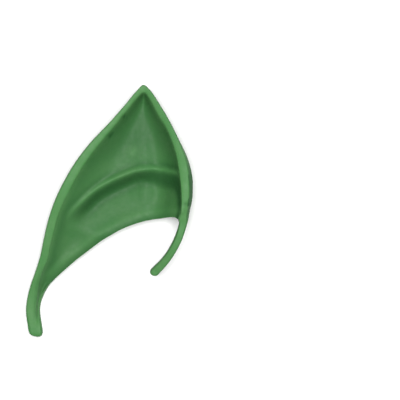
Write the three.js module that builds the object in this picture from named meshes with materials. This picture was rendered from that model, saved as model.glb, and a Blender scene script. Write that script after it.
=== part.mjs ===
// Elf ear tip: one hollow skin of cast latex that slips over the top of the wearer's ear.
// It lies on its back. +X points towards the face, +Y towards the point, +Z out of the front.
// All sizes are in millimetres.

import * as THREE from 'three';

const { clamp, lerp, smoothstep } = THREE.MathUtils;

// Overall size of the moulding
const EAR_LENGTH = 100; // end of the tail to the point
const EAR_WIDTH = 66.5; // back edge to front edge
const EAR_DEPTH = 28; // table to the highest stretch of the rim

// The latex skin and the pocket inside it
const WALL = 1.4; // front and back skin
const SIDE_WALL = 2.2; // skin behind the outline, where the rim makes it thicker
const POCKET_ROUND = 4; // how far the pocket's roof and bed take to meet at its end
const POCKET_LEAST = 1; // the pocket ends where it would be lower than this
const ROOF_RISE = 0.7; // how much of the bowl's rise to the rim the pocket's roof follows
const ROOF_EARLY = 3; // how far before the fold the roof starts to step down
const BACK_SETBACK = 2.5; // how far the back skin stops short of the front one
const ROUND_BELOW = 6; // a section shorter than this is a solid leg with a rounded inner side
const SOLID_BELOW = 8; // a section shorter than this is solid
const HOLLOW_ABOVE = 11; // a section longer than this has the whole pocket

// The rolled rim
const SIDE_LEVEL = 0.89; // share of the section's height where its outer side starts to lean in
const SIDE_SHAPE = 1.25; // 1 is a straight chamfer, more is rounder at its top
const RIM_FALL = 0.4; // the rim's top falls this much before its inner edge
const RIM_FALL_SHAPE = 4; // 1 is an even slope, more keeps the top level for longer
const RIM_STEP = 0.24; // share of the rim's height that drops off steeply
const RIM_STEP_REACH = 0.7; // how far that steep drop runs
const RIM_ROLL = 0.9; // how far the rim takes to roll over into the bowl's side

// The bowl of the ear and the fold across it
const SLOPE_REACH = 16; // how far the bowl's sides come in where it is wide
const SLOPE_MOST = 0.43; // and as a share of its width where it is narrow
const SLOPE_SHAPE = 1.8; // 1 is a straight side, more is steeper walls and a flatter floor
const GROOVE_SHAPE = 1.7; // the same for the tail's groove
const FOLD_DROP = 6; // height of the step below the fold
const FOLD_RUN = 5.5; // length of that step
const FOLD_BEAD = 0.8; // how far the fold stands proud of the bowl above it
const FOLD_BEAD_HALF = 1; // half the bead's width
const FOLD_BEAD_ABOVE = 0.5; // how far the bead lies above the step's edge
const FOLD_CREASE = 0.25; // depth of the crease along the bead's upper side

// The mouth's edge, a thin skin that rolls over, and the rounded inner side of the tail and the hook
const LIP_FALL = 1;
const LIP_WIDTH = 3;
const LIP_MOST = 0.6; // the roll takes no more than this share of the face
const LIP_BEAD = 0.4; // soft ridge along the top of the roll
const LIP_BEAD_SHARPNESS = 2;
const LIP_REACH = 14; // how far the bowl's floor takes to come to the mouth's height
const LIP_REACH_MOST = 0.55; // but not more than this share of the face
const LEG_ROUND = 1;
const LEG_ROUND_MOST = 0.5; // but not more than this share of the face

// The back
const BACK_ROUND = 12; // how far the back skin takes to flatten out from the outline
const BACK_ROUND_MOST = 0.45; // but not more than this share of the section
const LIFT_REACH = 25; // how far the lifted underside of the point takes to come down
const TAIL_END = 2.7; // length of the tail's rounded end
const HOOK_END = 1.86; // length of the hook's rounded end
const END_SHAPE = 2.4; // power of both ends' outline: 2 is round, more is squarer

// One row for each section, from the tail's end over the point to the hook's end. A section runs from
// the outline across the rim's inner edge to the mouth's edge, each given as a share of the overall width
// and length. under, crest and lip are its heights there and bed is the bowl's, as shares of the depth.
// fold is where the fold crosses it, from the rim's inner edge to the mouth. drop and run are the fold's
// size there, relief tells how sharply the rim stands out, groove turns the bowl into the tail's groove, and
// wall is the share of the rim's width that its outer side takes.
const COLUMNS = [
  'outX', 'outY', 'rimX', 'rimY', 'mouthX', 'mouthY', 'under', 'crest', 'lip', 'bed',
  'fold', 'drop', 'run', 'relief', 'groove', 'wall',
];
const SECTIONS = [
  // the tail
  [0.014, 0.027, 0.065, 0.027, 0.1, 0.027, 0, 0.179, 0.179, 0.175, 0.4, 0, 1, 0, 1, 0.3],
  [0, 0.108, 0.061, 0.113, 0.085, 0.116, 0, 0.221, 0.207, 0.139, 0.4, 0, 1, 1, 1, 0.12],
  [0.014, 0.172, 0.069, 0.168, 0.106, 0.165, 0, 0.271, 0.229, 0.146, 0.4, 0, 1, 1, 1, 0.12],
  [0.034, 0.217, 0.079, 0.212, 0.14, 0.205, 0, 0.336, 0.25, 0.171, 0.4, 0, 1, 1, 1, 0.12],
  [0.063, 0.271, 0.099, 0.259, 0.178, 0.233, 0, 0.407, 0.279, 0.211, 0.36, 0, 1, 1, 0.8, 0.12],
  [0.088, 0.326, 0.13, 0.308, 0.232, 0.265, 0, 0.479, 0.314, 0.257, 0.32, 0, 1, 1, 0.4, 0.12],
  // the back edge
  [0.105, 0.379, 0.147, 0.363, 0.302, 0.305, 0, 0.543, 0.357, 0.314, 0.28, 0, 1, 1, 0.1, 0.12],
  [0.127, 0.445, 0.173, 0.429, 0.392, 0.351, 0, 0.607, 0.4, 0.371, 0.24, 0, 1, 1, 0, 0.12],
  [0.149, 0.494, 0.192, 0.478, 0.454, 0.382, 0, 0.661, 0.436, 0.429, 0.22, 0, 0.8, 1, 0, 0.12],
  [0.174, 0.54, 0.218, 0.522, 0.502, 0.401, 0, 0.711, 0.461, 0.479, 0.235, 0.45, 0.8, 1, 0, 0.12],
  [0.212, 0.595, 0.256, 0.572, 0.54, 0.416, 0, 0.761, 0.471, 0.518, 0.278, 0.8, 0.8, 1, 0, 0.12],
  [0.288, 0.684, 0.324, 0.655, 0.591, 0.433, 0, 0.807, 0.479, 0.536, 0.348, 0.95, 0.85, 1, 0, 0.12],
  [0.387, 0.771, 0.412, 0.74, 0.63, 0.443, 0.018, 0.829, 0.479, 0.543, 0.424, 1, 0.9, 1, 0, 0.12],
  [0.502, 0.851, 0.514, 0.821, 0.66, 0.45, 0.079, 0.836, 0.479, 0.55, 0.492, 1, 0.9, 1, 0, 0.12],
  [0.606, 0.93, 0.612, 0.9, 0.686, 0.455, 0.196, 0.821, 0.479, 0.568, 0.549, 1, 0.9, 1, 0, 0.12],
  // the point
  [0.665, 0.977, 0.667, 0.946, 0.702, 0.458, 0.3, 0.807, 0.479, 0.586, 0.586, 1, 0.9, 1, 0, 0.12],
  [0.705, 1, 0.708, 0.968, 0.72, 0.461, 0.343, 0.8, 0.479, 0.593, 0.602, 1, 1, 1, 0, 0.12],
  [0.744, 0.98, 0.742, 0.942, 0.737, 0.463, 0.3, 0.818, 0.479, 0.586, 0.581, 1, 1.1, 1, 0, 0.12],
  // the front edge
  [0.794, 0.932, 0.789, 0.883, 0.758, 0.466, 0.196, 0.857, 0.479, 0.568, 0.528, 1, 1.2, 1, 0, 0.12],
  [0.853, 0.867, 0.845, 0.822, 0.782, 0.468, 0.079, 0.907, 0.479, 0.55, 0.461, 1.05, 1.4, 1, 0, 0.12],
  [0.916, 0.785, 0.897, 0.729, 0.81, 0.47, 0.018, 0.954, 0.482, 0.536, 0.303, 1.1, 1.6, 1, 0, 0.12],
  [0.97, 0.708, 0.924, 0.627, 0.838, 0.473, 0, 0.989, 0.496, 0.536, -0.02, 1.1, 1.8, 1, 0, 0.2],
  [0.997, 0.635, 0.932, 0.553, 0.868, 0.475, 0, 1, 0.529, 0.55, -0.3, 1.05, 1.8, 1, 0, 0.34],
  [0.999, 0.571, 0.931, 0.507, 0.893, 0.474, 0.029, 0.993, 0.571, 0.571, -0.6, 0.8, 1.6, 1, 0, 0.38],
  [0.994, 0.538, 0.93, 0.491, 0.902, 0.471, 0.121, 0.975, 0.629, 0.607, -0.6, 0.5, 1.4, 0.9, 0, 0.38],
  [0.983, 0.506, 0.927, 0.479, 0.909, 0.466, 0.268, 0.95, 0.714, 0.679, -0.6, 0.3, 1.2, 0.7, 0, 0.36],
  // the hook
  [0.976, 0.481, 0.9235, 0.4655, 0.913, 0.459, 0.446, 0.929, 0.814, 0.786, -0.3, 0.1, 1.1, 0.4, 0, 0.3],
  [0.968, 0.455, 0.931, 0.4525, 0.915, 0.451, 0.607, 0.907, 0.893, 0.893, 0, 0, 1, 0.1, 0, 0.3],
  [0.935, 0.387, 0.917, 0.391, 0.888, 0.397, 0.636, 0.879, 0.871, 0.871, 0.5, 0, 1, 0, 0, 0.4],
  [0.898, 0.338, 0.884, 0.34, 0.848, 0.346, 0.607, 0.821, 0.814, 0.814, 0.5, 0, 1, 0, 0, 0.6],
  [0.856, 0.296, 0.843, 0.3, 0.81, 0.312, 0.536, 0.736, 0.729, 0.729, 0.5, 0, 1, 0, 0, 0.6],
  [0.792, 0.248, 0.781, 0.255, 0.751, 0.273, 0.436, 0.621, 0.614, 0.614, 0.5, 0, 1, 0, 0, 0.6],
];

// How finely the skin is divided
const SECTION_STEPS = 3; // sections between two rows of the table
const RIM_STEPS = 7;
const UPPER_STEPS = 10; // rim to fold
const LOWER_STEPS = 10; // fold to mouth
const BACK_STEPS = 9;
const POCKET_STEPS = 16;
const END_STEPS = 4;
const MEASURE_STEPS = 12; // pieces per table row in the lines that distances are measured to
const FOLD_LINE_FROM = 0.2; // the row of corners that follows the fold stays between these shares
const FOLD_LINE_TO = 0.8;
const FACE_BUNCHING = 0.75; // how much closer the corners lie at the rim, at the fold and at the mouth
const RIM_BUNCHING = 1.4; // over 1: closer together at the outline
const BACK_BUNCHING = 1.3;
const POCKET_BUNCHING = 1.4; // closer together at the pocket's end
const POCKET_SEARCH = 0.005; // steps along a section in which the pocket's end is looked for
const POCKET_END_MOST = 0.9;
const END_SWEEP = 0.97; // share of a quarter turn that the loops of a rounded end take

// The table's columns as smooth lines in space

const column = (name) => SECTIONS.map((row) => row[COLUMNS.indexOf(name)]);

function guide(acrossName, alongName, heightName) {
  const along = column(alongName);
  const height = column(heightName);
  const points = column(acrossName).map((across, i) => new THREE.Vector3(
    (across - 0.5) * EAR_WIDTH,
    (along[i] - 0.5) * EAR_LENGTH,
    height[i] * EAR_DEPTH,
  ));
  return new THREE.CatmullRomCurve3(points, false, 'centripetal');
}

const outlineGuide = guide('outX', 'outY', 'under');
const rimGuide = guide('rimX', 'rimY', 'crest');
const mouthGuide = guide('mouthX', 'mouthY', 'lip');

// A column's value along the table as a smooth line
const traitLines = new Map(COLUMNS.map((name) => [
  name,
  new THREE.SplineCurve(column(name).map((value, row) => new THREE.Vector2(row, value))),
]));
const trait = (name, share) => traitLines.get(name).getPoint(share).y;

const POINT_ROW = column('outY').indexOf(Math.max(...column('outY')));

// Distances in plan to a line

const flat = (point) => new THREE.Vector2(point.x, point.y);

function planLine(curve, from, to) {
  const count = Math.round((to - from) * (SECTIONS.length - 1) * MEASURE_STEPS);
  return Array.from({ length: count + 1 }, (_, i) => flat(curve.getPoint(lerp(from, to, i / count))));
}

function distanceTo(line, point) {
  let nearest = Infinity;
  for (let i = 1; i < line.length; i++) {
    const piece = line[i].clone().sub(line[i - 1]);
    const offset = point.clone().sub(line[i - 1]);
    const share = clamp(offset.dot(piece) / piece.lengthSq(), 0, 1);
    nearest = Math.min(nearest, offset.sub(piece.multiplyScalar(share)).length());
  }
  return nearest;
}

const pointShare = POINT_ROW / (SECTIONS.length - 1);
const outline = planLine(outlineGuide, 0, 1);
const rimBehind = planLine(rimGuide, 0, pointShare);
const rimInFront = planLine(rimGuide, pointShare, 1);
const mouth = planLine(mouthGuide, 0, 1);

// A quarter of an ellipse: 0 at 0, then steeply up and level at 1
const quarter = (share) => Math.sqrt(1 - (1 - clamp(share, 0, 1)) ** 2);

// One section and the heights along it

function sectionAt(share) {
  const out = outlineGuide.getPoint(share);
  const rim = rimGuide.getPoint(share);
  const lip = mouthGuide.getPoint(share);
  const length = flat(out).distanceTo(flat(lip));
  const face = flat(rim).distanceTo(flat(lip));
  const rounded = 1 - smoothstep(length, ROUND_BELOW, SOLID_BELOW);
  const relief = trait('relief', share);
  return {
    out: flat(out),
    rim: flat(rim),
    lip: flat(lip),
    under: Math.max(out.z, 0),
    crest: rim.z,
    lipTop: lip.z,
    rimEdge: rim.z - RIM_FALL * relief,
    side: lerp(out.z, rim.z, SIDE_LEVEL),
    bed: trait('bed', share) * EAR_DEPTH,
    fold: trait('fold', share),
    drop: trait('drop', share),
    run: trait('run', share) * FOLD_RUN,
    groove: trait('groove', share),
    relief,
    shoulder: trait('wall', share),
    length,
    face,
    lipWidth: Math.min(LIP_WIDTH, LIP_MOST * face),
    rounded,
    legRound: rounded * Math.min(LEG_ROUND, LEG_ROUND_MOST * face),
    hollow: smoothstep(length, SOLID_BELOW, HOLLOW_ABOVE),
  };
}

function rimHeight(section, share) {
  if (share <= section.shoulder) {
    const lean = 1 - (1 - share / section.shoulder) ** SIDE_SHAPE;
    return lerp(section.side, section.crest, lean);
  }
  const across = (share - section.shoulder) / (1 - section.shoulder);
  return lerp(section.crest, section.rimEdge, across ** RIM_FALL_SHAPE);
}

// How far the bowl has risen towards the rim: 1 at the rim and 0 along the middle
function bowlRise(section, place, share) {
  const behind = distanceTo(rimBehind, place);
  const inFront = distanceTo(rimInFront, place);
  const reach = SLOPE_REACH * (1 - Math.exp(-SLOPE_MOST * (behind + inFront) / SLOPE_REACH));
  const sunk = (gap) => {
    const rolled = gap - RIM_ROLL * (1 - Math.exp(-gap / RIM_ROLL));
    return 1 - (1 - clamp(rolled / reach, 0, 1)) ** SLOPE_SHAPE;
  };
  return lerp(1 - sunk(behind) * sunk(inFront), (1 - share) ** GROOVE_SHAPE, section.groove);
}

// The bowl's floor with the step below the fold, which starts a little early under the skin
function floorHeight(section, place, share, early) {
  const foldAt = Math.max(section.fold, 0);
  const below = (share - section.fold) * section.face + early;
  const recover = 1 - clamp((share - foldAt) / (1 - foldAt), 0, 1);
  const step = section.drop * FOLD_DROP * smoothstep(below, 0, section.run + early) * recover;
  const lipReach = Math.min(LIP_REACH, LIP_REACH_MOST * section.face);
  const byMouth = 1 - smoothstep(distanceTo(mouth, place), 0, lipReach);
  return lerp(section.bed, section.lipTop, byMouth) - step;
}

function faceHeight(section, place, share) {
  const above = ((share - section.fold) * section.face + FOLD_BEAD_ABOVE) / FOLD_BEAD_HALF;
  const bead = FOLD_BEAD * Math.exp(-(above ** 2));
  const crease = FOLD_CREASE * Math.exp(-((above + 2) ** 2));
  const floor = floorHeight(section, place, share, 0) + section.drop * (bead - crease);
  const toRim = Math.min(distanceTo(rimBehind, place), distanceTo(rimInFront, place));
  const sharp = RIM_STEP * section.relief;
  const steep = sharp * Math.exp(-toRim / RIM_STEP_REACH);
  const rise = steep + (1 - sharp) * bowlRise(section, place, share);
  const lipShare = distanceTo(mouth, place) / section.lipWidth;
  const ridge = LIP_BEAD * Math.exp(-((LIP_BEAD_SHARPNESS * (lipShare - 1)) ** 2));
  const roll = LIP_FALL * (section.lipWidth / LIP_WIDTH) * (1 - quarter(lipShare));
  return lerp(floor, section.rimEdge, rise) + (1 - section.rounded) * (ridge - roll);
}

function backHeight(section, place) {
  const toOutline = distanceTo(outline, place);
  const inward = place.distanceTo(section.out);
  const base = section.under * (1 - smoothstep(inward, 0, LIFT_REACH));
  const round = Math.min(BACK_ROUND, BACK_ROUND_MOST * section.length);
  return lerp(section.side, base, quarter(toOutline / round));
}

// The pocket's roof keeps clear of the skin's sharper forms, as the smooth core that it was cast on
function roofHeight(section, place, share) {
  const rise = ROOF_RISE * bowlRise(section, place, share);
  return lerp(floorHeight(section, place, share, ROOF_EARLY), section.rimEdge, rise) - WALL;
}

// Points along a section, as corners in space

const corner = (place, height) => new THREE.Vector3(place.x, place.y, height);
const between = (from, to, share) => from.clone().lerp(to, share);

// Steps from 0 to 1 that are closer together towards both ends
function bunched(step, steps) {
  const even = step / steps;
  return lerp(even, (1 - Math.cos(Math.PI * even)) / 2, FACE_BUNCHING);
}

function frontCorners(section) {
  const corners = [];
  for (let i = 0; i <= RIM_STEPS; i++) {
    const share = (i / RIM_STEPS) ** RIM_BUNCHING;
    const place = between(section.out, section.rim, share);
    corners.push(corner(place, rimHeight(section, share)));
  }
  const last = 1 - section.legRound / section.face;
  const foldLine = last * clamp(section.fold, FOLD_LINE_FROM, FOLD_LINE_TO);
  for (let i = 1; i <= UPPER_STEPS + LOWER_STEPS; i++) {
    const share = i <= UPPER_STEPS
      ? lerp(0, foldLine, bunched(i, UPPER_STEPS))
      : lerp(foldLine, last, bunched(i - UPPER_STEPS, LOWER_STEPS));
    const place = between(section.rim, section.lip, share);
    corners.push(corner(place, faceHeight(section, place, share)));
  }
  return corners;
}

function backCorners(section) {
  const setback = lerp(section.legRound, BACK_SETBACK, section.hollow);
  const last = 1 - setback / section.length;
  const corners = [];
  for (let i = 1; i <= BACK_STEPS; i++) {
    const place = between(section.out, section.lip, last * (i / BACK_STEPS) ** BACK_BUNCHING);
    corners.push(corner(place, backHeight(section, place)));
  }
  return corners;
}

function pocketHeights(section, place, along) {
  const rimShare = section.rim.distanceTo(section.out) / section.length;
  const faceShare = clamp((along - rimShare) / (1 - rimShare), 0, 1);
  return { roof: roofHeight(section, place, faceShare), bed: backHeight(section, place) + WALL };
}

// The share of a section at which the pocket ends: clear of the side wall and not too low
function pocketEnd(section) {
  let share = 0;
  let closed = true;
  while (closed && share < POCKET_END_MOST) {
    share += POCKET_SEARCH;
    const place = between(section.out, section.lip, share);
    const { roof, bed } = pocketHeights(section, place, share);
    closed = distanceTo(outline, place) < SIDE_WALL || roof - bed < POCKET_LEAST;
  }
  return share;
}

// Round the pocket from the back skin's edge to the front skin's, or round a solid leg's inner side
function pocketCorners(section, backEdge, frontEdge) {
  const end = pocketEnd(section);
  const half = POCKET_STEPS / 2;
  const corners = [];
  for (let i = 0; i <= POCKET_STEPS; i++) {
    const onRoof = i > half;
    const start = flat(onRoof ? frontEdge : backEdge);
    const toEnd = onRoof ? (POCKET_STEPS - i) / half : i / half;
    const startShare = start.distanceTo(section.out) / section.length;
    const along = lerp(end, startShare, (1 - toEnd) ** POCKET_BUNCHING);
    const place = between(section.out, section.lip, along);
    const round = quarter((along - end) * section.length / POCKET_ROUND);
    const { roof, bed } = pocketHeights(section, place, along);
    const cast = corner(place, lerp((roof + bed) / 2, onRoof ? roof : bed, round));
    const turn = Math.PI * (i + 1) / (POCKET_STEPS + 2);
    const side = corner(
      between(start, section.lip, Math.sin(turn)),
      lerp(frontEdge.z, backEdge.z, (1 + Math.cos(turn)) / 2),
    );
    corners.push(side.lerp(cast, section.hollow));
  }
  return corners;
}

function sectionLoop(section) {
  const front = frontCorners(section);
  const back = backCorners(section);
  const pocket = pocketCorners(section, back[back.length - 1], front[front.length - 1]);
  return [...front.reverse(), ...back, ...pocket];
}

// A leg's end: its last section shrinks to its middle as it runs on
function roundedEnd(loop, before, reach) {
  const middleOf = (corners) => corners
    .reduce((sum, one) => sum.add(one), new THREE.Vector3())
    .divideScalar(corners.length);
  const middle = middleOf(loop);
  const onward = middle.clone().sub(middleOf(before)).setZ(0).setLength(reach);
  return Array.from({ length: END_STEPS }, (_, i) => {
    const advance = Math.sin((Math.PI / 2) * ((i + 1) / END_STEPS) * END_SWEEP);
    const size = (1 - advance ** END_SHAPE) ** (1 / END_SHAPE);
    return loop.map((one) => middle.clone().lerp(one, size).addScaledVector(onward, advance));
  });
}

// A skin over loops of corners, closed at both ends by a fan
function loft(loops) {
  const around = loops[0].length;
  const corners = loops.flat();
  const faces = [];
  for (let i = 1; i < loops.length; i++) {
    for (let j = 0; j < around; j++) {
      const next = (j + 1) % around;
      const a = (i - 1) * around + j;
      const b = (i - 1) * around + next;
      const c = i * around + next;
      const d = i * around + j;
      faces.push(a, c, b, a, d, c);
    }
  }
  [[0, -1], [loops.length - 1, 1]].forEach(([at, facing]) => {
    const hub = corners.length;
    corners.push(loops[at].reduce((sum, one) => sum.add(one), new THREE.Vector3()).divideScalar(around));
    for (let j = 0; j < around; j++) {
      const edge = [at * around + j, at * around + (j + 1) % around];
      faces.push(hub, ...(facing < 0 ? edge : edge.reverse()));
    }
  });
  const geometry = new THREE.BufferGeometry().setFromPoints(corners);
  geometry.setIndex(faces);
  return geometry;
}

function earSkin() {
  const count = (SECTIONS.length - 1) * SECTION_STEPS;
  const loops = Array.from({ length: count + 1 }, (_, i) => sectionLoop(sectionAt(i / count)));
  const tailEnd = roundedEnd(loops[0], loops[1], TAIL_END).reverse();
  const hookEnd = roundedEnd(loops[count], loops[count - 1], HOOK_END);
  const geometry = loft([...tailEnd, ...loops, ...hookEnd]);
  geometry.computeBoundingBox();
  const { min, max } = geometry.boundingBox;
  geometry.translate(-(min.x + max.x) / 2, -(min.y + max.y) / 2, -min.z);
  geometry.computeVertexNormals();
  return geometry;
}

const latex = new THREE.MeshStandardMaterial({ color: 0x5c9a58, roughness: 0.62, metalness: 0 });
const earTip = new THREE.Mesh(earSkin(), latex);
earTip.name = 'ear_tip';

const part = new THREE.Group();
part.add(earTip);

export default part;
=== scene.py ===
# Elf ear tip: one hollow skin of cast green latex, lying on its back on a pale table.
# +X points towards the face, +Y towards the point, +Z out of the front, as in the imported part.

import math
from collections import namedtuple

import bmesh
import bpy
import numpy as np
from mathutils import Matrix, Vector


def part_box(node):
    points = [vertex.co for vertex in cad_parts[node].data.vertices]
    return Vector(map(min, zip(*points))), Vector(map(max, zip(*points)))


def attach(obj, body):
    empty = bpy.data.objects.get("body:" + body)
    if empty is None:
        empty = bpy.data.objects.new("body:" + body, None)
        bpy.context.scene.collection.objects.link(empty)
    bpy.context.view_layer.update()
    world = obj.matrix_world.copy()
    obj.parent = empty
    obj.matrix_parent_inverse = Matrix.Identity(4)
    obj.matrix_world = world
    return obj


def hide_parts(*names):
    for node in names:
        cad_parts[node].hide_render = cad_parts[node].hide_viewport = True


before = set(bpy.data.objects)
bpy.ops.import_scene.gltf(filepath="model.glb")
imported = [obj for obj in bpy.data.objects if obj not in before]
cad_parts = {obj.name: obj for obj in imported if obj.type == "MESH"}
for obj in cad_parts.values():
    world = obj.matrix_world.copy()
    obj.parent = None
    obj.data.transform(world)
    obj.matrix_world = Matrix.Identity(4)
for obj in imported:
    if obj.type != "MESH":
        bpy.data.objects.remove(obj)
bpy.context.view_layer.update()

MM_PER_METRE = 1000

# Sizes, in millimetres

EAR_LENGTH = 100  # end of the tail to the point
EAR_WIDTH = 66.5  # back edge to front edge
EAR_DEPTH = 28  # table to the highest stretch of the rim

# The skin and its pocket
WALL = 1.4
SIDE_WALL = 2.2
POCKET_ROUND = 4  # how far the pocket's roof and bed take to meet at its end
POCKET_LEAST = 1  # the pocket ends where it would be lower than this
ROOF_RISE = 0.7  # how much of the bowl's rise to the rim the pocket's roof follows
ROOF_EARLY = 3  # how far before the fold the roof starts to step down
BACK_SETBACK = 2.5  # how far the back skin stops short of the front one
ROUND_BELOW = 6  # a section shorter than this is a solid leg with a rounded inner side
SOLID_BELOW = 8  # a section shorter than this is solid
HOLLOW_ABOVE = 11  # a section longer than this has the whole pocket

# The rim
SIDE_LEVEL = 0.89  # share of the section's height where its outer side starts to lean in
SIDE_SHAPE = 1.25  # 1 is a straight chamfer, more is rounder at its top
RIM_FALL = 0.4  # the rim's top falls this much before its inner edge
RIM_FALL_SHAPE = 4  # 1 is an even slope, more keeps the top level for longer
RIM_STEP = 0.24  # share of the rim's height that drops off steeply
RIM_STEP_REACH = 0.7  # how far that steep drop runs
RIM_ROLL = 0.9  # how far the rim takes to roll over into the bowl's side

# The bowl and its fold
SLOPE_REACH = 16  # how far the bowl's sides come in where it is wide
SLOPE_MOST = 0.43  # and as a share of its width where it is narrow
SLOPE_SHAPE = 1.8  # 1 is a straight side, more is steeper walls and a flatter floor
GROOVE_SHAPE = 1.7  # the same for the tail's groove
FOLD_DROP = 6  # height of the step below the fold
FOLD_RUN = 5.5  # length of that step
FOLD_BEAD = 0.8  # how far the fold stands proud of the bowl above it
FOLD_BEAD_HALF = 1  # half the bead's width
FOLD_BEAD_ABOVE = 0.5  # how far the bead lies above the step's edge
FOLD_CREASE = 0.25  # depth of the crease along the bead's upper side

# The mouth's edge and the inner sides of the legs
LIP_FALL = 1
LIP_WIDTH = 3
LIP_MOST = 0.6  # the roll takes no more than this share of the face
LIP_BEAD = 0.4  # soft ridge along the top of the roll
LIP_BEAD_SHARPNESS = 2
LIP_REACH = 14  # how far the bowl's floor takes to come to the mouth's height
LIP_REACH_MOST = 0.55  # but not more than this share of the face
LIP_NOSE = 0.4  # how far the edge of the skin is rounded
LEG_ROUND = 1
LEG_ROUND_MOST = 0.5  # but not more than this share of the face

# The back and the two ends
BACK_ROUND = 12  # how far the back skin takes to flatten out from the outline
BACK_ROUND_MOST = 0.45  # but not more than this share of the section
LIFT_REACH = 25  # how far the lifted underside of the point takes to come down
TAIL_END = 2.7  # length of the tail's rounded end
HOOK_END = 1.86  # length of the hook's rounded end
TAIL_END_SHAPE = 2.4  # power of an end's outline: 2 is round, more is squarer
HOOK_END_SHAPE = 2

# Painted shade, as shares of full cover
# A darker green painted into the colour where shade falls: it lies in the hollows and creases and on the
# outer sides, and is left off the rim and the fold's bead, which stand in the light.

PAINTED_SHADE = 0.45  # in the bowl
PAINTED_SHADE_DEPTH = 2.8  # mm below the rim at which it is whole
RIM_PAINTED_SHADE = 0.08  # more of it right beside the rim
LOW_RIM_PAINTED_SHADE = 0.22  # and still more beside the back rim where there is no fold
RIM_PAINTED_SHADE_TO = 6  # mm from the rim at which that has faded
UPPER_PAINTED_SHADE = 0.2  # more of it along the middle high above the fold
UPPER_PAINTED_SHADE_FROM = 4  # mm above the fold
UPPER_PAINTED_SHADE_TO = 14
UPPER_PAINTED_SHADE_IN = 6  # mm from the rim at which it is whole
CREASE_PAINTED_SHADE = 0.2  # more in the crease above the fold's bead
STEP_PAINTED_SHADE = 0.34  # more on the step below the bead
STEP_PAINTED_SHADE_AT = 3.2  # mm below the fold
STEP_PAINTED_SHADE_HALF = 3.2
GROOVE_PAINTED_SHADE = 0.27  # more in the tail's groove
GROOVE_PAINTED_SHADE_AT = -0.2  # mm inside the rim's inner edge
GROOVE_PAINTED_SHADE_HALF = 0.9
GROOVE_PAINTED_SHADE_SHAPE = 3  # over 1: it thins out sooner than the groove does
GROOVE_FADES = (0.4, 0.7)  # between these values of the relief it fades out at the groove's end
EDGE_PAINTED_SHADE = 0.2  # more on the very edge of the mouth
BEAD_UNSHADED = 0.75  # share of the painted shade left off the fold's bead, a painted highlight
LIP_UNSHADED = 0.35  # and off the ridge along the mouth, a painted highlight
CORNER_UNSHADED = 0.7  # and beside the front rim between the step and the mouth, painted lighter
CORNER_UNSHADED_FROM = 4.5  # mm below the fold
CORNER_UNSHADED_TO = 7.5
CORNER_UNSHADED_IN = 10  # mm from the rim at which none is gone
SIDE_PAINTED_SHADE = 0.75  # on the wide outer side below the front rim
SIDE_PAINTED_SHADE_FROM = 0.15  # shares of the rim's width between which an outer side counts as wide
SIDE_PAINTED_SHADE_TO = 0.34
LEG_PAINTED_SHADE = 0.12  # on all other outer sides, the back and the pocket
BAND_SHAPE = 4  # 2 is a band that fades from its middle, more has a flatter middle

# Small marks, in millimetres and degrees: where each lies, half its length and width, how its length
# is turned from +X, how far it rises or sinks, and how much painted shade it adds; less than none paints
# it lighter as a highlight.
Mark = namedtuple("Mark", "x y half_length half_width turn rise wash")
MARKS = [
    Mark(30.5, 2.8, 1.5, 0.6, -5, -0.35, 0.5),  # crease across the front rim, with painted shade in it
    Mark(9, 23.8, 1.7, 0.9, 25, 0.15, -0.4),  # low raised spot in the bowl, painted lighter as a highlight
    Mark(6.1, 37.4, 1, 0.6, 20, -0.9, 0.7),  # two nicks in the back rim's inner edge, with painted shade in them
    Mark(0.7, 30.1, 1, 0.6, 20, -0.9, 0.7),
]

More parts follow.
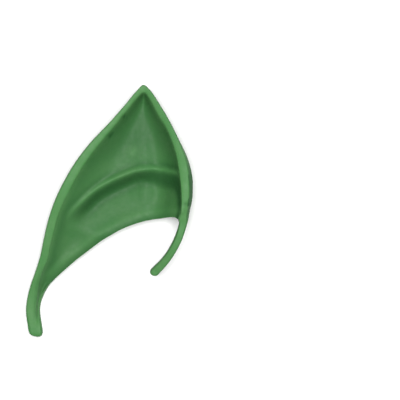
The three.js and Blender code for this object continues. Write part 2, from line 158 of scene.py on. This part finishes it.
# One row for each section, from the tail's end over the point to the hook's end: where it crosses the
# outline, the rim's inner edge and the mouth's edge, as shares of width and length, the heights there
# as shares of the depth, and how the fold, the rim and the tail's groove show in it.
COLUMNS = [
    "outX", "outY", "rimX", "rimY", "mouthX", "mouthY", "under", "crest", "lip", "bed",
    "fold", "drop", "run", "relief", "groove", "wall",
]
SECTIONS = np.array([
    # the tail
    [0.014, 0.027, 0.065, 0.027, 0.1, 0.027, 0, 0.179, 0.179, 0.175, 0.4, 0, 1, 0, 1, 0.3],
    [0, 0.108, 0.061, 0.113, 0.085, 0.116, 0, 0.221, 0.207, 0.139, 0.4, 0, 1, 1, 1, 0.12],
    [0.014, 0.172, 0.069, 0.168, 0.106, 0.165, 0, 0.271, 0.229, 0.146, 0.4, 0, 1, 1, 1, 0.12],
    [0.034, 0.217, 0.079, 0.212, 0.14, 0.205, 0, 0.336, 0.25, 0.171, 0.4, 0, 1, 1, 1, 0.12],
    [0.063, 0.271, 0.099, 0.259, 0.178, 0.233, 0, 0.407, 0.279, 0.211, 0.36, 0, 1, 1, 0.8, 0.12],
    [0.088, 0.326, 0.13, 0.308, 0.232, 0.265, 0, 0.479, 0.314, 0.257, 0.32, 0, 1, 1, 0.4, 0.12],
    # the back edge
    [0.105, 0.379, 0.147, 0.363, 0.302, 0.305, 0, 0.543, 0.357, 0.314, 0.28, 0, 1, 1, 0.1, 0.12],
    [0.127, 0.445, 0.173, 0.429, 0.392, 0.351, 0, 0.607, 0.4, 0.371, 0.24, 0, 1, 1, 0, 0.12],
    [0.149, 0.494, 0.192, 0.478, 0.454, 0.382, 0, 0.661, 0.436, 0.429, 0.22, 0, 0.8, 1, 0, 0.12],
    [0.174, 0.54, 0.218, 0.522, 0.502, 0.401, 0, 0.711, 0.461, 0.479, 0.235, 0.45, 0.8, 1, 0, 0.12],
    [0.212, 0.595, 0.256, 0.572, 0.54, 0.416, 0, 0.761, 0.471, 0.518, 0.278, 0.8, 0.8, 1, 0, 0.12],
    [0.288, 0.684, 0.324, 0.655, 0.591, 0.433, 0, 0.807, 0.479, 0.536, 0.348, 0.95, 0.85, 1, 0, 0.12],
    [0.387, 0.771, 0.412, 0.74, 0.63, 0.443, 0.018, 0.829, 0.479, 0.543, 0.424, 1, 0.9, 1, 0, 0.12],
    [0.502, 0.851, 0.514, 0.821, 0.66, 0.45, 0.079, 0.836, 0.479, 0.55, 0.492, 1, 0.9, 1, 0, 0.12],
    [0.606, 0.93, 0.612, 0.9, 0.686, 0.455, 0.196, 0.821, 0.479, 0.568, 0.549, 1, 0.9, 1, 0, 0.12],
    # the point
    [0.665, 0.977, 0.667, 0.946, 0.702, 0.458, 0.3, 0.807, 0.479, 0.586, 0.586, 1, 0.9, 1, 0, 0.12],
    [0.705, 1, 0.708, 0.968, 0.72, 0.461, 0.343, 0.8, 0.479, 0.593, 0.602, 1, 1, 1, 0, 0.12],
    [0.744, 0.98, 0.742, 0.942, 0.737, 0.463, 0.3, 0.818, 0.479, 0.586, 0.581, 1, 1.1, 1, 0, 0.12],
    # the front edge
    [0.794, 0.932, 0.789, 0.883, 0.758, 0.466, 0.196, 0.857, 0.479, 0.568, 0.528, 1, 1.2, 1, 0, 0.12],
    [0.853, 0.867, 0.845, 0.822, 0.782, 0.468, 0.079, 0.907, 0.479, 0.55, 0.461, 1.05, 1.4, 1, 0, 0.12],
    [0.916, 0.785, 0.897, 0.729, 0.81, 0.47, 0.018, 0.954, 0.482, 0.536, 0.303, 1.1, 1.6, 1, 0, 0.12],
    [0.97, 0.708, 0.924, 0.627, 0.838, 0.473, 0, 0.989, 0.496, 0.536, -0.02, 1.1, 1.8, 1, 0, 0.2],
    [0.997, 0.635, 0.932, 0.553, 0.868, 0.475, 0, 1, 0.529, 0.55, -0.3, 1.05, 1.8, 1, 0, 0.34],
    [0.999, 0.571, 0.931, 0.507, 0.893, 0.474, 0.029, 0.993, 0.571, 0.571, -0.6, 0.8, 1.6, 1, 0, 0.38],
    [0.994, 0.538, 0.93, 0.491, 0.902, 0.471, 0.121, 0.975, 0.629, 0.607, -0.6, 0.5, 1.4, 0.9, 0, 0.38],
    [0.983, 0.506, 0.927, 0.479, 0.909, 0.466, 0.268, 0.95, 0.714, 0.679, -0.6, 0.3, 1.2, 0.7, 0, 0.36],
    # the hook
    [0.976, 0.481, 0.9235, 0.4655, 0.913, 0.459, 0.446, 0.929, 0.814, 0.786, -0.3, 0.1, 1.1, 0.4, 0, 0.3],
    [0.968, 0.455, 0.931, 0.4525, 0.915, 0.451, 0.607, 0.907, 0.893, 0.893, 0, 0, 1, 0.1, 0, 0.3],
    [0.935, 0.387, 0.917, 0.391, 0.888, 0.397, 0.636, 0.879, 0.871, 0.871, 0.5, 0, 1, 0, 0, 0.4],
    [0.898, 0.338, 0.884, 0.34, 0.848, 0.346, 0.607, 0.821, 0.814, 0.814, 0.5, 0, 1, 0, 0, 0.6],
    [0.856, 0.296, 0.843, 0.3, 0.81, 0.312, 0.536, 0.736, 0.729, 0.729, 0.5, 0, 1, 0, 0, 0.6],
    [0.792, 0.248, 0.781, 0.255, 0.751, 0.273, 0.436, 0.621, 0.614, 0.614, 0.5, 0, 1, 0, 0, 0.6],
])

# How finely the skin is divided before it is smoothed
SECTION_STEPS = 8  # sections between two rows of the table
RIM_STEPS = 10
UPPER_STEPS = 14  # rim to fold
LOWER_STEPS = 14  # fold to mouth
BACK_STEPS = 12
POCKET_STEPS = 20
NOSE_STEPS = 3
END_STEPS = 7
MEASURE_STEPS = 12  # pieces per table row in the lines that distances are measured to
FOLD_LINE_FROM = 0.2  # the row of corners that follows the fold stays between these shares
FOLD_LINE_TO = 0.8
FACE_BUNCHING = 0.65  # how much closer the corners lie at the rim, at the fold and at the mouth
RIM_BUNCHING = 1.4  # over 1: closer together at the outline
BACK_BUNCHING = 1.3
POCKET_BUNCHING = 1.4  # closer together at the pocket's end
POCKET_SEARCH = 0.005  # steps along a section in which the pocket's end is looked for
POCKET_END_MOST = 0.9
NOSE_SHAPE = 0.6  # under 1 is a blunter edge
END_SWEEP = 0.985  # share of a quarter turn that the loops of a rounded end take

# The table as smooth lines

LAST_ROW = len(SECTIONS) - 1


def column(name):
    return SECTIONS[:, COLUMNS.index(name)]


def lerp(start, end, share):
    return start + (end - start) * share


def smoothstep(value, low, high):
    share = np.clip((value - low) / (high - low), 0, 1)
    return share * share * (3 - 2 * share)


def quarter(share):
    """A quarter of an ellipse: 0 at 0, then steeply up and level at 1."""
    return np.sqrt(1 - (1 - np.clip(share, 0, 1)) ** 2)


def band(place, middle, half):
    """1 in a band round its middle and 0 well outside it, with soft edges."""
    return np.exp(-(((place - middle) / half) ** BAND_SHAPE))


def cubic(start, end, leave, arrive, part):
    """Between two points, leaving the first and arriving at the second with the given slopes."""
    return (
        start + leave * part + (3 * (end - start) - 2 * leave - arrive) * part ** 2
        + (2 * (start - end) + leave + arrive) * part ** 3
    )


def guide(across, along, height):
    """Three columns of the table as points in millimetres, round the middle of the ear."""
    return np.column_stack([
        (column(across) - 0.5) * EAR_WIDTH,
        (column(along) - 0.5) * EAR_LENGTH,
        column(height) * EAR_DEPTH,
    ])


OUTLINE_GUIDE = guide("outX", "outY", "under")
RIM_GUIDE = guide("rimX", "rimY", "crest")
MOUTH_GUIDE = guide("mouthX", "mouthY", "lip")


def on_guide(rows, share):
    """A point on the centripetal curve through the rows."""
    at = min(int(share * LAST_ROW), LAST_ROW - 1)
    part = share * LAST_ROW - at
    ends = np.vstack([2 * rows[0] - rows[1], rows, 2 * rows[-1] - rows[-2]])
    a, b, c, d = ends[at:at + 4]
    first, middle, last = (
        math.sqrt(np.linalg.norm(after - before)) for before, after in ((a, b), (b, c), (c, d))
    )
    leave = ((b - a) / first - (c - a) / (first + middle) + (c - b) / middle) * middle
    arrive = ((c - b) / middle - (d - b) / (middle + last) + (d - c) / last) * middle
    return cubic(b, c, leave, arrive, part)


def trait(name, share):
    """A column's value on a smooth line through the rows."""
    values = column(name)
    at = int(share * LAST_ROW)
    part = share * LAST_ROW - at
    a, b, c, d = (values[min(max(row, 0), LAST_ROW)] for row in (at - 1, at, at + 1, at + 2))
    return cubic(b, c, (c - a) / 2, (d - b) / 2, part)


def plan_line(rows, start, end):
    """A stretch of a guide as a line of short pieces, seen from above."""
    count = round((end - start) * LAST_ROW * MEASURE_STEPS)
    return np.array([on_guide(rows, lerp(start, end, i / count))[:2] for i in range(count + 1)])


POINT_SHARE = int(np.argmax(column("outY"))) / LAST_ROW
OUTLINE = plan_line(OUTLINE_GUIDE, 0, 1)
RIM_BEHIND = plan_line(RIM_GUIDE, 0, POINT_SHARE)
RIM_IN_FRONT = plan_line(RIM_GUIDE, POINT_SHARE, 1)
MOUTH = plan_line(MOUTH_GUIDE, 0, 1)


def distance_to(line, places):
    """How far each place is from the line, in plan."""
    pieces = line[1:] - line[:-1]
    offsets = places[:, None, :] - line[None, :-1]
    shares = np.clip((offsets * pieces).sum(2) / (pieces ** 2).sum(1), 0, 1)
    return np.linalg.norm(offsets - shares[..., None] * pieces, axis=2).min(1)


# One section of the ear

class Section:
    """The sizes of the skin where one section crosses it."""

    def __init__(self, share):
        out, rim, lip = (on_guide(rows, share) for rows in (OUTLINE_GUIDE, RIM_GUIDE, MOUTH_GUIDE))
        self.out, self.rim, self.lip = out[:2], rim[:2], lip[:2]
        self.length = np.linalg.norm(self.out - self.lip)
        self.face = np.linalg.norm(self.rim - self.lip)
        self.under = max(out[2], 0)
        self.crest = rim[2]
        self.lip_top = lip[2]
        self.relief = trait("relief", share)
        self.rim_edge = rim[2] - RIM_FALL * self.relief
        self.side = lerp(out[2], rim[2], SIDE_LEVEL)
        self.bed = trait("bed", share) * EAR_DEPTH
        self.fold = trait("fold", share)
        self.drop = trait("drop", share)
        self.run = trait("run", share) * FOLD_RUN
        self.groove = trait("groove", share)
        self.shoulder = trait("wall", share)
        self.lip_width = min(LIP_WIDTH, LIP_MOST * self.face)
        self.rounded = 1 - smoothstep(self.length, ROUND_BELOW, SOLID_BELOW)
        self.leg_round = self.rounded * min(LEG_ROUND, LEG_ROUND_MOST * self.face)
        self.hollow = smoothstep(self.length, SOLID_BELOW, HOLLOW_ABOVE)


def rim_height(section, share):
    """The rim's height: 0 is on the outline and 1 at the inner edge."""
    up_the_side = np.clip(share / section.shoulder, 0, 1)
    outer = lerp(section.side, section.crest, 1 - (1 - up_the_side) ** SIDE_SHAPE)
    across = np.clip((share - section.shoulder) / (1 - section.shoulder), 0, 1)
    inner = lerp(section.crest, section.rim_edge, across ** RIM_FALL_SHAPE)
    return np.where(share <= section.shoulder, outer, inner)


def sunk(gap, reach):
    """How far the bowl has sunk at this distance from the rim: 0 at the rim and 1 on the floor."""
    past_roll = gap - RIM_ROLL * (1 - np.exp(-gap / RIM_ROLL))
    return 1 - (1 - np.clip(past_roll / reach, 0, 1)) ** SLOPE_SHAPE


def bowl_rise(section, places, share):
    """How far the bowl has risen towards the rim: 1 at the rim and 0 along the middle."""
    behind = distance_to(RIM_BEHIND, places)
    in_front = distance_to(RIM_IN_FRONT, places)
    reach = SLOPE_REACH * (1 - np.exp(-SLOPE_MOST * (behind + in_front) / SLOPE_REACH))
    bowl = 1 - sunk(behind, reach) * sunk(in_front, reach)
    return lerp(bowl, (1 - share) ** GROOVE_SHAPE, section.groove)


def floor_height(section, places, share, early):
    """The bowl's floor with the step below the fold, which can start early by some millimetres."""
    fold_at = max(section.fold, 0)
    below = (share - section.fold) * section.face + early
    recover = 1 - np.clip((share - fold_at) / (1 - fold_at), 0, 1)
    step = section.drop * FOLD_DROP * smoothstep(below, 0, section.run + early) * recover
    reach = min(LIP_REACH, LIP_REACH_MOST * section.face)
    by_mouth = 1 - smoothstep(distance_to(MOUTH, places), 0, reach)
    return lerp(section.bed, section.lip_top, by_mouth) - step


def bead_and_crease(section, share):
    """1 on the crest of the fold's bead and 1 in the crease above it, fading out beside them."""
    across = ((share - section.fold) * section.face + FOLD_BEAD_ABOVE) / FOLD_BEAD_HALF
    return np.exp(-(across ** 2)), np.exp(-((across + 2) ** 2))


def lip_ridge(lip_share):
    """1 on the crest of the soft ridge along the mouth, fading out beside it."""
    return np.exp(-((LIP_BEAD_SHARPNESS * (lip_share - 1)) ** 2))


def rim_gap(places):
    """How far each place is from the rim's inner edge."""
    return np.minimum(distance_to(RIM_BEHIND, places), distance_to(RIM_IN_FRONT, places))


def face_height(section, places, share):
    """The face's height: a share of 0 is at the rim's inner edge and 1 at the mouth."""
    on_bead, in_crease = bead_and_crease(section, share)
    bead = section.drop * (FOLD_BEAD * on_bead - FOLD_CREASE * in_crease)
    to_rim = rim_gap(places)
    sharp = RIM_STEP * section.relief
    rise = sharp * np.exp(-to_rim / RIM_STEP_REACH) + (1 - sharp) * bowl_rise(section, places, share)
    lip_share = distance_to(MOUTH, places) / section.lip_width
    ridge = LIP_BEAD * lip_ridge(lip_share)
    roll = LIP_FALL * (section.lip_width / LIP_WIDTH) * (1 - quarter(lip_share))
    floor = floor_height(section, places, share, 0) + bead
    return lerp(floor, section.rim_edge, rise) + (1 - section.rounded) * (ridge - roll)


def groove_painted_shade(section, inside):
    """The painted shade in the tail's groove, from how far inside the rim's inner edge a place lies."""
    in_groove = band(inside, GROOVE_PAINTED_SHADE_AT, GROOVE_PAINTED_SHADE_HALF)
    deep = section.groove ** GROOVE_PAINTED_SHADE_SHAPE * smoothstep(section.relief, *GROOVE_FADES)
    return GROOVE_PAINTED_SHADE * deep * in_groove


def face_painted_shade(section, places, share, height):
    """How much painted shade lies on the face."""
    below = (share - section.fold) * section.face
    folded = min(section.drop, 1)
    to_back_rim = distance_to(RIM_BEHIND, places)
    to_front_rim = distance_to(RIM_IN_FRONT, places)
    to_rim = np.minimum(to_back_rim, to_front_rim)
    lip_share = distance_to(MOUTH, places) / section.lip_width
    on_bead, in_crease = bead_and_crease(section, share)
    on_step = band(below, STEP_PAINTED_SHADE_AT, STEP_PAINTED_SHADE_HALF)
    high_up = smoothstep(-below, UPPER_PAINTED_SHADE_FROM, UPPER_PAINTED_SHADE_TO) * smoothstep(to_rim, 0, UPPER_PAINTED_SHADE_IN)
    in_bowl = (
        PAINTED_SHADE
        + RIM_PAINTED_SHADE * (1 - smoothstep(to_rim, 0, RIM_PAINTED_SHADE_TO))
        + LOW_RIM_PAINTED_SHADE * (1 - folded) * (1 - smoothstep(to_back_rim, 0, RIM_PAINTED_SHADE_TO))
        + UPPER_PAINTED_SHADE * folded * high_up
        + EDGE_PAINTED_SHADE * (1 - smoothstep(lip_share, 0, 1))
    )
    in_corner = smoothstep(below, CORNER_UNSHADED_FROM, CORNER_UNSHADED_TO)
    in_corner = in_corner * (1 - smoothstep(to_front_rim, 0, CORNER_UNSHADED_IN))
    # Painted shade left off the fold's bead, the mouth's ridge and the corner beside the front rim, which
    # paints them lighter
    unshaded = (
        BEAD_UNSHADED * folded * on_bead
        + LIP_UNSHADED * lip_ridge(lip_share)
        + CORNER_UNSHADED * in_corner
    )
    return (
        smoothstep(section.rim_edge - height, 0, PAINTED_SHADE_DEPTH) * in_bowl * (1 - np.minimum(unshaded, 1))
        + section.drop * (STEP_PAINTED_SHADE * on_step + CREASE_PAINTED_SHADE * in_crease)
        + groove_painted_shade(section, share * section.face)
    )


def back_height(section, places):
    """The back skin's height: it rounds over from the outline and then lies flat."""
    inward = np.linalg.norm(places - section.out, axis=1)
    base = section.under * (1 - smoothstep(inward, 0, LIFT_REACH))
    round_over = min(BACK_ROUND, BACK_ROUND_MOST * section.length)
    return lerp(section.side, base, quarter(distance_to(OUTLINE, places) / round_over))


def pocket_heights(section, along):
    """The pocket's roof and bed at shares of the section."""
    places = section.out + np.outer(along, section.lip - section.out)
    rim_share = np.linalg.norm(section.rim - section.out) / section.length
    share = np.clip((along - rim_share) / (1 - rim_share), 0, 1)
    rise = ROOF_RISE * bowl_rise(section, places, share)
    roof = lerp(floor_height(section, places, share, ROOF_EARLY), section.rim_edge, rise) - WALL
    return places, roof, back_height(section, places) + WALL


def pocket_end(section):
    """The share of a section at which the pocket ends: clear of the side wall and not too low."""
    along = np.arange(1, round(POCKET_END_MOST / POCKET_SEARCH) + 1) * POCKET_SEARCH
    places, roof, bed = pocket_heights(section, along)
    open_here = (distance_to(OUTLINE, places) >= SIDE_WALL) & (roof - bed >= POCKET_LEAST)
    return along[np.argmax(open_here)] if open_here.any() else along[-1]


# Corners round a section

def bunched(count):
    """Shares from 0 to 1, closer together towards both ends."""
    share = np.arange(1, count + 1) / count
    return lerp(share, (1 - np.cos(np.pi * share)) / 2, FACE_BUNCHING)


def marks_at(places):
    """How much the small marks raise each place, and how much painted shade they add to it."""
    changes = np.zeros((len(places), 2))
    for mark in MARKS:
        right, up = (places - (mark.x, mark.y)).T
        cos, sin = math.cos(math.radians(mark.turn)), math.sin(math.radians(mark.turn))
        along = (right * cos + up * sin) / mark.half_length
        across = (up * cos - right * sin) / mark.half_width
        changes += np.exp(-(along ** 2) - across ** 2)[:, None] * (mark.rise, mark.wash)
    return changes


def front_corners(section):
    """From the outline over the rim and the face to the mouth: each place, its height and its painted
    shade.
    """
    share = (np.arange(RIM_STEPS + 1) / RIM_STEPS) ** RIM_BUNCHING
    places = section.out + np.outer(share, section.rim - section.out)
    # Painted shade on the outer side below the rim, strongest on the wide side under the front rim
    wide = section.relief * smoothstep(section.shoulder, SIDE_PAINTED_SHADE_FROM, SIDE_PAINTED_SHADE_TO)
    side_painted_shade = np.where(share < section.shoulder, lerp(LEG_PAINTED_SHADE, SIDE_PAINTED_SHADE, wide), 0)
    side_painted_shade += groove_painted_shade(section, (share - 1) * np.linalg.norm(section.rim - section.out))
    rim = np.column_stack([places, rim_height(section, share), side_painted_shade])
    last = 1 - (section.leg_round + LIP_NOSE * section.hollow) / section.face
    fold_line = last * np.clip(section.fold, FOLD_LINE_FROM, FOLD_LINE_TO)
    share = np.concatenate([
        fold_line * bunched(UPPER_STEPS),
        lerp(fold_line, last, bunched(LOWER_STEPS)),
    ])
    places = section.rim + np.outer(share, section.lip - section.rim)
    height = face_height(section, places, share)
    face = np.column_stack([places, height, face_painted_shade(section, places, share, height)])
    front = np.vstack([rim, face])
    front[:, 2:] += marks_at(front[:, :2])
    front[:, 3] = np.clip(front[:, 3], 0, 1)
    return front


def back_corners(section):
    """From the outline along the back skin to its edge."""
    setback = lerp(section.leg_round, BACK_SETBACK, section.hollow)
    step = np.arange(1, BACK_STEPS + 1) / BACK_STEPS
    share = (1 - setback / section.length) * step ** BACK_BUNCHING
    places = section.out + np.outer(share, section.lip - section.out)
    return np.column_stack([places, back_height(section, places)])


def pocket_corners(section, back_edge, front_edge):
    """Round the pocket from the back skin's edge to the front skin's.

    Where the ear is solid they run round the leg's inner side instead.
    """
    end = pocket_end(section)
    step = np.arange(POCKET_STEPS + 1)
    half = POCKET_STEPS / 2
    on_roof = step > half
    to_end = np.where(on_roof, POCKET_STEPS - step, step) / half
    start = np.where(on_roof[:, None], front_edge[:2], back_edge[:2])
    start_share = np.linalg.norm(start - section.out, axis=1) / section.length
    along = lerp(end, start_share, (1 - to_end) ** POCKET_BUNCHING)
    places, roof, bed = pocket_heights(section, along)
    swell = quarter((along - end) * section.length / POCKET_ROUND)
    height = lerp((roof + bed) / 2, np.where(on_roof, roof, bed), swell)
    cast = np.column_stack([places, height])
    turn = np.pi * (step + 1) / (POCKET_STEPS + 2)
    side = np.column_stack([
        start + (section.lip - start) * np.sin(turn)[:, None],
        lerp(front_edge[2], back_edge[2], (1 + np.cos(turn)) / 2),
    ])
    return lerp(side, cast, section.hollow)


def nose_corners(section, start, end):
    """The rounded edge of the skin between its two faces."""
    share = np.arange(1, NOSE_STEPS + 1)[:, None] / (NOSE_STEPS + 1)
    outwards = np.append((section.lip - section.out) / section.length, 0)
    bulge = LIP_NOSE * section.hollow * np.sin(np.pi * share) ** NOSE_SHAPE
    return lerp(start, end, share) + outwards * bulge


def section_loop(section):
    """All corners round one section, each with its painted shade."""
    front = front_corners(section)
    back = back_corners(section)
    edge = front[-1][:3]
    pocket = pocket_corners(section, back[-1], edge)
    unseen = np.vstack([
        back,
        nose_corners(section, back[-1], pocket[0]),
        pocket,
        nose_corners(section, pocket[-1], edge),
    ])
    # The back, the edge and the pocket get the faint painted shade of the outer sides
    return np.vstack([front[::-1], np.column_stack([unseen, np.full(len(unseen), LEG_PAINTED_SHADE)])])


def rounded_end(loop, before, reach, shape):
    """A leg's end: its last section shrinks to its middle as it runs on."""
    middle = loop.mean(0)
    onward = middle - before.mean(0)
    onward[2:] = 0
    onward *= reach / np.linalg.norm(onward)
    loops = []
    for i in range(END_STEPS):
        advance = math.sin(math.pi / 2 * END_SWEEP * (i + 1) / END_STEPS)
        size = (1 - advance ** shape) ** (1 / shape)
        loops.append(lerp(middle, loop, size) + onward * advance)
    return loops


def ear_loops():
    """The sections' loops from the tail's end over the point to the hook's end."""
    count = LAST_ROW * SECTION_STEPS
    loops = [section_loop(Section(i / count)) for i in range(count + 1)]
    tail_end = rounded_end(loops[0], loops[1], TAIL_END, TAIL_END_SHAPE)[::-1]
    hook_end = rounded_end(loops[-1], loops[-2], HOOK_END, HOOK_END_SHAPE)
    return np.array([*tail_end, *loops, *hook_end])


# The ear's mesh

SAME_PLACE = 1e-6  # metres within which two corners are one


def fitted(loops):
    """The loops in metres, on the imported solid's place."""
    low, high = (np.array(corner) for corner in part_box("ear_tip"))
    loops = loops[..., :3]
    lowest, highest = (edge(loops.reshape(-1, 3), axis=0) for edge in (np.min, np.max))
    moved = loops / MM_PER_METRE
    moved[..., :2] += ((low + high) / 2 - (lowest + highest) / 2 / MM_PER_METRE)[:2]
    moved[..., 2] += low[2] - lowest[2] / MM_PER_METRE
    return moved


def ear_skin():
    """A flat grid wrapped round the ear's sections and closed at the tail's and the hook's end."""
    loops = ear_loops()
    painted_shades = loops[..., 3]
    loops = fitted(loops)
    along, around = loops.shape[:2]
    bm = bmesh.new()
    bmesh.ops.create_grid(bm, x_segments=around, y_segments=along - 1, size=1)
    # Painted shade, kept on each corner to darken the latex's colour where shade falls
    wash = bm.verts.layers.float.new("wash")
    for vert in bm.verts:
        turn = round((vert.co.x + 1) / 2 * around)
        run = round((vert.co.y + 1) / 2 * (along - 1))
        vert.co = loops[run, turn % around]
        vert[wash] = painted_shades[run, turn % around]
    bmesh.ops.remove_doubles(bm, verts=bm.verts, dist=SAME_PLACE)
    bmesh.ops.holes_fill(bm, edges=[edge for edge in bm.edges if edge.is_boundary], sides=0)
    caps = [face for face in bm.faces if len(face.verts) > 4]
    bmesh.ops.poke(bm, faces=caps)
    bmesh.ops.recalc_face_normals(bm, faces=bm.faces)
    mesh = bpy.data.meshes.new("ear_tip_skin")
    bm.to_mesh(mesh)
    bm.free()
    for face in mesh.polygons:
        face.use_smooth = True
    skin = bpy.data.objects.new("ear_tip_skin", mesh)
    bpy.context.scene.collection.objects.link(skin)
    smooth = skin.modifiers.new("smooth", "SUBSURF")
    smooth.levels = smooth.render_levels = 1
    return skin


# Materials

def linear(hex_colour):
    """An sRGB hex colour as linear red, green, blue and alpha."""
    parts = [int(hex_colour[i:i + 2], 16) / 255 for i in (1, 3, 5)]
    return (*(c / 12.92 if c <= 0.04045 else ((c + 0.055) / 1.055) ** 2.4 for c in parts), 1)


def add(tree, kind, sockets, **settings):
    """A new node with its settings, its sockets' values and the links into it."""
    made = tree.nodes.new(kind)
    for name, value in settings.items():
        setattr(made, name, value)
    for name, value in sockets.items():
        if isinstance(value, bpy.types.NodeSocket):
            tree.links.new(value, made.inputs[name])
        else:
            made.inputs[name].default_value = value
    return made


def new_material(name):
    material = bpy.data.materials.new(name)
    material.use_nodes = True
    material.node_tree.nodes.clear()
    return material, material.node_tree


def per_mm(size):
    """The scale of a noise whose blotches are this many millimetres across."""
    return MM_PER_METRE / size


def cast_green_latex():
    """Natural latex, pigmented green and poured into a plaster mould: matt to satin, a little see-through
    where it is thin, with cloudy pigment and the plaster's faint grain, and painted shade darkening it
    towards a deep green."""
    material, tree = new_material("cast_natural_latex_green")
    place = add(tree, "ShaderNodeTexCoord", {}).outputs["Object"]
    clouds = add(tree, "ShaderNodeTexNoise", {
        "Vector": place, "Scale": per_mm(11), "Detail": 3, "Roughness": 0.55,
    })
    mottle = add(tree, "ShaderNodeTexNoise", {
        "Vector": place, "Scale": per_mm(1.8), "Detail": 2, "Roughness": 0.5,
    })
    # The plaster's grain is 0.1 to 0.3 mm across, drawn at 0.7 mm so that it shows
    grain = add(tree, "ShaderNodeTexNoise", {
        "Vector": place, "Scale": per_mm(0.7), "Detail": 2, "Roughness": 0.6,
    })
    cloudy = add(tree, "ShaderNodeMapRange", {
        "Value": clouds.outputs["Fac"], "From Min": 0.35, "From Max": 0.65, "To Min": 0, "To Max": 1,
    })
    pigment = add(tree, "ShaderNodeMix", {
        0: cloudy.outputs["Result"], 6: linear("#417240"), 7: linear("#4a7646"),
    }, data_type="RGBA")
    mottled = add(tree, "ShaderNodeMapRange", {
        "Value": mottle.outputs["Fac"], "From Min": 0.3, "From Max": 0.7, "To Min": 0, "To Max": 0.35,
    })
    tone = add(tree, "ShaderNodeMix", {
        0: mottled.outputs["Result"], 6: pigment.outputs[2], 7: linear("#3d6e3b"),
    }, data_type="RGBA")
    rough = add(tree, "ShaderNodeMapRange", {
        "Value": mottle.outputs["Fac"], "From Min": 0.3, "From Max": 0.7, "To Min": 0.5, "To Max": 0.6,
    })
    uneven = add(tree, "ShaderNodeBump", {
        "Height": clouds.outputs["Fac"], "Strength": 0.5, "Distance": 0.0005,
    })
    grained = add(tree, "ShaderNodeBump", {
        "Height": grain.outputs["Fac"], "Strength": 0.35, "Distance": 0.00006,
        "Normal": uneven.outputs["Normal"],
    })
    # Painted shade: the corners' painted shade mixes the green towards a deep green where shade falls
    wash = add(tree, "ShaderNodeAttribute", {}, attribute_name="wash")
    deep = add(tree, "ShaderNodeMix", {
        0: wash.outputs["Fac"], 6: tone.outputs[2], 7: linear("#1b4521"),
    }, data_type="RGBA")
    latex = add(tree, "ShaderNodeBsdfPrincipled", {
        "Base Color": deep.outputs[2],
        "Roughness": rough.outputs["Result"],
        "IOR": 1.52,
        "Specular IOR Level": 0.12,
        "Subsurface Weight": 0.1,
        "Subsurface Radius": (0.6, 1.0, 0.4),
        "Subsurface Scale": 0.0012,
        "Normal": grained.outputs["Normal"],
    })
    add(tree, "ShaderNodeOutputMaterial", {"Surface": latex.outputs["BSDF"]})
    return material


def white_table():
    """Painted board: even, white and matt."""
    material, tree = new_material("white_painted_board")
    place = add(tree, "ShaderNodeTexCoord", {}).outputs["Object"]
    haze = add(tree, "ShaderNodeTexNoise", {"Vector": place, "Scale": 3, "Detail": 2})
    tone = add(tree, "ShaderNodeMix", {
        0: haze.outputs["Fac"], 6: linear("#e9e9e8"), 7: linear("#ececec"),
    }, data_type="RGBA")
    board = add(tree, "ShaderNodeBsdfPrincipled", {"Base Color": tone.outputs[2], "Roughness": 0.8})
    add(tree, "ShaderNodeOutputMaterial", {"Surface": board.outputs["BSDF"]})
    return material


# Table, light and camera, in metres and watts

TABLE_HALF = 3  # half the length of its side
SOFTBOX_PLACE = (0.02, 0.05, 1.4)
SOFTBOX_WIDTH = 0.7
SOFTBOX_WATTS = 35
STUDIO_BRIGHTNESS = 0.1
VIEW_WIDTH = 0.1584  # what the square picture shows across at the middle of the ear's depth
VIEW_CENTRE = (0.03596, 0.00438)
LENS = 600  # in millimetres, as the sensor's width
SENSOR_WIDTH = 36


def lay_table():
    """A flat top below the ear, well past the picture's edges."""
    bm = bmesh.new()
    bmesh.ops.create_grid(bm, x_segments=1, y_segments=1, size=TABLE_HALF)
    mesh = bpy.data.meshes.new("table_top")
    bm.to_mesh(mesh)
    bm.free()
    mesh.materials.append(white_table())
    table = bpy.data.objects.new("table_top", mesh)
    bpy.context.scene.collection.objects.link(table)


def hang_softbox():
    """A round soft light nearly overhead that shines at the ear."""
    light = bpy.data.lights.new("overhead_softbox", "AREA")
    light.shape = "DISK"
    light.size = SOFTBOX_WIDTH
    light.energy = SOFTBOX_WATTS
    lamp = bpy.data.objects.new("overhead_softbox", light)
    lamp.location = SOFTBOX_PLACE
    lamp.rotation_mode = "QUATERNION"
    lamp.rotation_quaternion = (-Vector(SOFTBOX_PLACE)).to_track_quat("-Z", "Y")
    bpy.context.scene.collection.objects.link(lamp)


def surround_with_studio():
    """Faint white light from all sides."""
    world = bpy.data.worlds.new("studio")
    world.use_nodes = True
    backdrop = world.node_tree.nodes["Background"]
    backdrop.inputs["Color"].default_value = (1, 1, 1, 1)
    backdrop.inputs["Strength"].default_value = STUDIO_BRIGHTNESS
    bpy.context.scene.world = world


def set_camera():
    """Straight above the table, with a long lens."""
    camera = bpy.data.cameras.new("camera")
    camera.lens = LENS
    camera.sensor_width = SENSOR_WIDTH
    eye = bpy.data.objects.new("camera", camera)
    height = VIEW_WIDTH * LENS / SENSOR_WIDTH + EAR_DEPTH / 2 / MM_PER_METRE
    eye.location = (*VIEW_CENTRE, height)
    bpy.context.scene.collection.objects.link(eye)
    bpy.context.scene.camera = eye


# The scene

set_camera()
skin = ear_skin()
skin.data.materials.append(cast_green_latex())
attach(skin, "root")
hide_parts("ear_tip")
lay_table()
hang_softbox()
surround_with_studio()
bpy.context.scene.view_settings.view_transform = "Standard"
